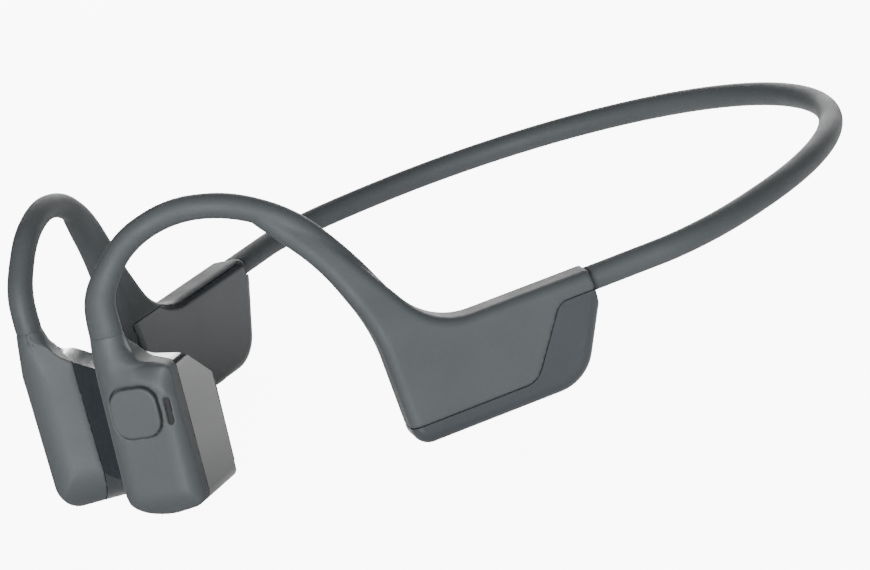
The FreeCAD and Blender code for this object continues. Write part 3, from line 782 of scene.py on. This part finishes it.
class HEADPHONES_OT_button(bpy.types.Operator):
    """Mould the press button of the left speaker"""
    bl_idname = "headphones.button"
    bl_label = "Press button"

    def execute(self, context):
        mesh = moulded(cad_mesh("left_multifunction_button"), BUTTON_STEP, 4)
        mesh = reshaped(mesh, SPEAKER, button_shift)
        piece = show("press_button", mesh, MATERIALS["cover"])
        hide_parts("left_multifunction_button")
        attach(piece, "multifunction_button")
        return {"FINISHED"}


class HEADPHONES_OT_coils(bpy.types.Operator):
    """Wind the voice coils of both speakers"""
    bl_idname = "headphones.coils"
    bl_label = "Voice coils"

    def execute(self, context):
        tree = coil_tree()
        for side in SIDES:
            matrix = SPEAKER if side == "left" else MIRROR @ SPEAKER
            inverse = matrix.inverted()
            node = NODES[side + "_voice_coil"]
            spots = [inverse @ vertex.co for vertex in node.data.vertices]
            low = Vector(min(spot[i] for spot in spots) for i in range(3))
            high = Vector(max(spot[i] for spot in spots) for i in range(3))
            layers = []
            pitch = 2 * COIL_WIRE
            turns = int((high.z - low.z) / pitch)
            for layer in range(COIL_LAYERS):
                edge = COIL_WIRE * (1 + 2 * layer)
                x = (low.x + edge, high.x - edge)
                y = (low.y + edge, high.y - edge)
                bend = 0.55 * (x[1] - x[0])
                loop = [Vector((x[0], y[0] + bend, 0)), Vector((x[0], y[0], 0)),
                        Vector((x[1], y[0], 0)), Vector((x[1], y[0] + bend, 0)),
                        Vector((x[1], y[1] - bend, 0)), Vector((x[1], y[1], 0)),
                        Vector((x[0], y[1], 0)), Vector((x[0], y[1] - bend, 0))]
                mesh = grown(spline_object("loop", loop, closed=True), tree, {
                    "Turns": turns, "Pitch": pitch, "Wire Radius": COIL_WIRE * 0.98,
                    "Material": MATERIALS["copper"]})
                mesh.transform(Matrix.Translation((0, 0, low.z + COIL_WIRE)))
                layers.append(mesh)
            mesh = joined(*layers)
            mesh.transform(matrix)
            if side == "right":
                mesh.flip_normals()
            piece = show(side + "_coil_winding", mesh, MATERIALS["copper"])
            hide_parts(side + "_voice_coil")
            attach(piece, side + "_side")
        return {"FINISHED"}


class HEADPHONES_OT_hard_parts(bpy.types.Operator):
    """Give the hard shells and the inner parts their finishes"""
    bl_idname = "headphones.hard_parts"
    bl_label = "Shells and inner parts"

    def execute(self, context):
        finishes = (
            ("speaker_housing", "gloss"), ("pod_shell", "satin"), ("pod_lid", "black"),
            ("contact_pad", "rubber"), ("hook_wire", "spring"), ("hook_cable", "jacket"),
            ("transducer_magnet", "nickel"), ("transducer_yoke", "steel"),
            ("suspension_plate", "steel"), ("mic_mesh", "black"), ("microphone", "nickel"),
            ("battery", "foil"), ("button_switch", "chip"), ("button_board", "board"),
            ("port_shell", "nickel"), ("port_tongue", "black"), ("main_board", "board"),
            ("shield_can", "nickel"), ("main_chip", "chip"), ("volume_up_button", "satin"),
            ("volume_down_button", "satin"), ("volume_switches", "board"),
            ("status_light", "lens"),
        )
        for side in SIDES:
            for ending, finish in finishes:
                node = NODES.get(side + "_" + ending)
                if node is None:
                    continue
                for slot in node.material_slots:
                    slot.material = MATERIALS[finish]
        return {"FINISHED"}


class HEADPHONES_OT_stage(bpy.types.Operator):
    """Lay the floor, hang the lights and set the camera"""
    bl_idname = "headphones.stage"
    bl_label = "Stage"

    def execute(self, context):
        s = settings()
        scene = context.scene
        bpy.ops.mesh.primitive_plane_add(size=12.0, location=(0, 0, -0.0002))
        floor = context.object
        floor.name = "floor"
        paper = bpy.data.materials.new("pale_floor")
        paper.use_nodes = True
        shader = paper.node_tree.nodes["Principled BSDF"]
        shader.inputs["Base Color"].default_value = (*s.floor_colour, 1)
        shader.inputs["Roughness"].default_value = 0.9
        shader.inputs["Specular IOR Level"].default_value = 0.1
        shader.inputs["Emission Color"].default_value = (1, 1, 1, 1)
        rays = paper.node_tree.nodes.new("ShaderNodeLightPath")
        glow = paper.node_tree.nodes.new("ShaderNodeMath")
        glow.operation = "MULTIPLY_ADD"
        glow.inputs[1].default_value = s.floor_glow
        # Painted reflection: for glossy rays the floor glows too, so the gloss and satin shells
        # show a bright painted reflection of it. The fade below dims that glow to a tenth
        # towards -y and raises it towards +y, which paints shade into the reflection.
        painted_reflection = paper.node_tree.nodes.new("ShaderNodeMath")
        painted_reflection.operation = "MULTIPLY"
        paper.node_tree.links.new(rays.outputs["Is Camera Ray"], glow.inputs[0])
        paper.node_tree.links.new(rays.outputs["Is Glossy Ray"], painted_reflection.inputs[0])
        spot = paper.node_tree.nodes.new("ShaderNodeTexCoord")
        parts = paper.node_tree.nodes.new("ShaderNodeSeparateXYZ")
        reflection_fade = paper.node_tree.nodes.new("ShaderNodeMapRange")
        reflection_fade.inputs["From Min"].default_value = -0.045
        reflection_fade.inputs["From Max"].default_value = 0.03
        reflection_fade.inputs["To Min"].default_value = 0.1 * s.painted_floor_reflection
        reflection_fade.inputs["To Max"].default_value = 1.5 * s.painted_floor_reflection
        paper.node_tree.links.new(spot.outputs["Object"], parts.inputs[0])
        paper.node_tree.links.new(parts.outputs["Y"], reflection_fade.inputs["Value"])
        paper.node_tree.links.new(reflection_fade.outputs["Result"], painted_reflection.inputs[1])
        paper.node_tree.links.new(painted_reflection.outputs[0], glow.inputs[2])
        paper.node_tree.links.new(glow.outputs[0], shader.inputs["Emission Strength"])
        floor.data.materials.append(paper)
        middle = Vector((0, 0, 0.02))
        for name, place, size, power in (
                ("key_light", (0.94, -0.94, 0.13), 0.7, s.key_power),
                ("top_light", (-0.1, -0.2, 1.3), 0.9, s.top_power),
                ("back_light", (-0.9, 0.9, 0.3), 0.9, s.back_power)):
            light = bpy.data.lights.new(name, "AREA")
            light.energy = power
            light.size = size
            lamp = bpy.data.objects.new(name, light)
            lamp.location = place
            lamp.rotation_mode = "QUATERNION"
            lamp.rotation_quaternion = (middle - Vector(place)).to_track_quat("-Z", "Y")
            scene.collection.objects.link(lamp)
        world = bpy.data.worlds.new("pale_room")
        world.use_nodes = True
        background = world.node_tree.nodes["Background"]
        background.inputs["Color"].default_value = (1, 1, 1, 1)
        background.inputs["Strength"].default_value = s.room_strength
        scene.world = world
        camera = bpy.data.cameras.new("camera")
        camera.lens = s.lens
        camera.clip_start = 0.01
        camera.clip_end = 100
        stand = bpy.data.objects.new("camera", camera)
        scene.collection.objects.link(stand)
        azimuth, elevation, roll = s.azimuth, s.elevation, s.roll
        back = Vector((math.sin(azimuth) * math.cos(elevation),
                       -math.cos(azimuth) * math.cos(elevation), math.sin(elevation)))
        right = Vector((math.cos(azimuth), math.sin(azimuth), 0))
        up = back.cross(right)
        across = right * math.cos(roll) - up * math.sin(roll)
        upwards = right * math.sin(roll) + up * math.cos(roll)
        turn = Matrix((across, upwards, back)).transposed()
        stand.rotation_mode = "QUATERNION"
        stand.rotation_quaternion = turn.to_quaternion()
        stand.location = Vector(s.look_at) + back * s.distance
        scene.camera = stand
        return {"FINISHED"}


# ---------------------------------------------------------------- properties and panel


class HeadphoneSettings(bpy.types.PropertyGroup):
    band_tube: FloatProperty(name="Neckband diameter", description="Outside of its cover",
                             default=3.2 * MM, unit="LENGTH")
    band_bore: FloatProperty(name="Neckband bore", description="Room for wire and cable",
                             default=2.3 * MM, unit="LENGTH")
    hook_tube: FloatProperty(name="Hook diameter", description="Outside of the ear hook",
                             default=3.2 * MM, unit="LENGTH")
    bend_reach: FloatProperty(name="Bend reach",
                              description="Half the width over which the neckband bends",
                              default=0.040, unit="LENGTH")
    voxel: FloatProperty(name="Mould step", description="Grid step of the moulded skins",
                         default=0.22 * MM, unit="LENGTH")
    soft_rounds: IntProperty(name="Softening", description="Smoothing rounds", default=5)
    skin_colour: FloatVectorProperty(name="Skin colour", description="Soft-touch skin",
                                     subtype="COLOR", default=(0.047, 0.053, 0.056))
    shell_colour: FloatVectorProperty(name="Shell colour", description="Hard shells",
                                      subtype="COLOR", default=(0.017, 0.02, 0.023))
    rubber_colour: FloatVectorProperty(name="Pad colour", description="Cheek pads",
                                       subtype="COLOR", default=(0.018, 0.019, 0.02))
    floor_colour: FloatVectorProperty(name="Floor colour", description="Pale floor",
                                      subtype="COLOR", default=(0.9, 0.9, 0.9))
    key_power: FloatProperty(name="Key light", description="Power", default=56, unit="POWER")
    top_power: FloatProperty(name="Top light", description="Power", default=0.3, unit="POWER")
    back_power: FloatProperty(name="Back light", description="Power", default=22, unit="POWER")
    room_strength: FloatProperty(name="Room light", description="Brightness all round",
                                 default=0.08)
    floor_glow: FloatProperty(name="Floor glow", description="Keeps the floor near white",
                              default=9.0)
    # Painted reflection: strength of the floor's glow that only glossy rays see.
    painted_floor_reflection: FloatProperty(name="Painted floor reflection", description="Floor in the reflections",
                               default=0.9)
    azimuth: FloatProperty(name="Camera azimuth", description="Round the object",
                           subtype="ANGLE", default=math.radians(58.361))
    elevation: FloatProperty(name="Camera elevation", description="Above the floor",
                             subtype="ANGLE", default=math.radians(13.297))
    roll: FloatProperty(name="Camera roll", description="About the line of sight",
                        subtype="ANGLE", default=math.radians(19.042))
    distance: FloatProperty(name="Camera distance", description="From the looked-at point",
                            default=0.67072, unit="LENGTH")
    lens: FloatProperty(name="Lens", description="Focal length in millimetres",
                        default=211.27)
    look_at: FloatVectorProperty(name="Looked-at point", description="Middle of the view",
                                 subtype="TRANSLATION", default=(0, -0.00113, 0.00871))


STEPS = (HEADPHONES_OT_materials, HEADPHONES_OT_neckband, HEADPHONES_OT_ear_hooks,
         HEADPHONES_OT_speakers, HEADPHONES_OT_button, HEADPHONES_OT_coils,
         HEADPHONES_OT_hard_parts, HEADPHONES_OT_stage)


class HEADPHONES_PT_panel(bpy.types.Panel):
    """Sizes, colours and steps of the headphones"""
    bl_idname = "HEADPHONES_PT_panel"
    bl_label = "Headphones"
    bl_space_type = "VIEW_3D"
    bl_region_type = "UI"
    bl_category = "Headphones"

    def draw(self, context):
        for name in HeadphoneSettings.__annotations__:
            self.layout.prop(context.scene.headphones, name)
        for step in STEPS:
            self.layout.operator(step.bl_idname)


CLASSES = (HeadphoneSettings, *STEPS, HEADPHONES_PT_panel)


def register():
    for item in CLASSES:
        bpy.utils.register_class(item)
    bpy.types.Scene.headphones = PointerProperty(type=HeadphoneSettings)


def unregister():
    del bpy.types.Scene.headphones
    for item in reversed(CLASSES):
        bpy.utils.unregister_class(item)


def main():
    register()
    bpy.ops.headphones.materials()
    bpy.ops.headphones.neckband()
    bpy.ops.headphones.ear_hooks()
    bpy.ops.headphones.speakers()
    bpy.ops.headphones.button()
    bpy.ops.headphones.coils()
    bpy.ops.headphones.hard_parts()
    bpy.ops.headphones.stage()


if __name__ == "__main__":
    main()
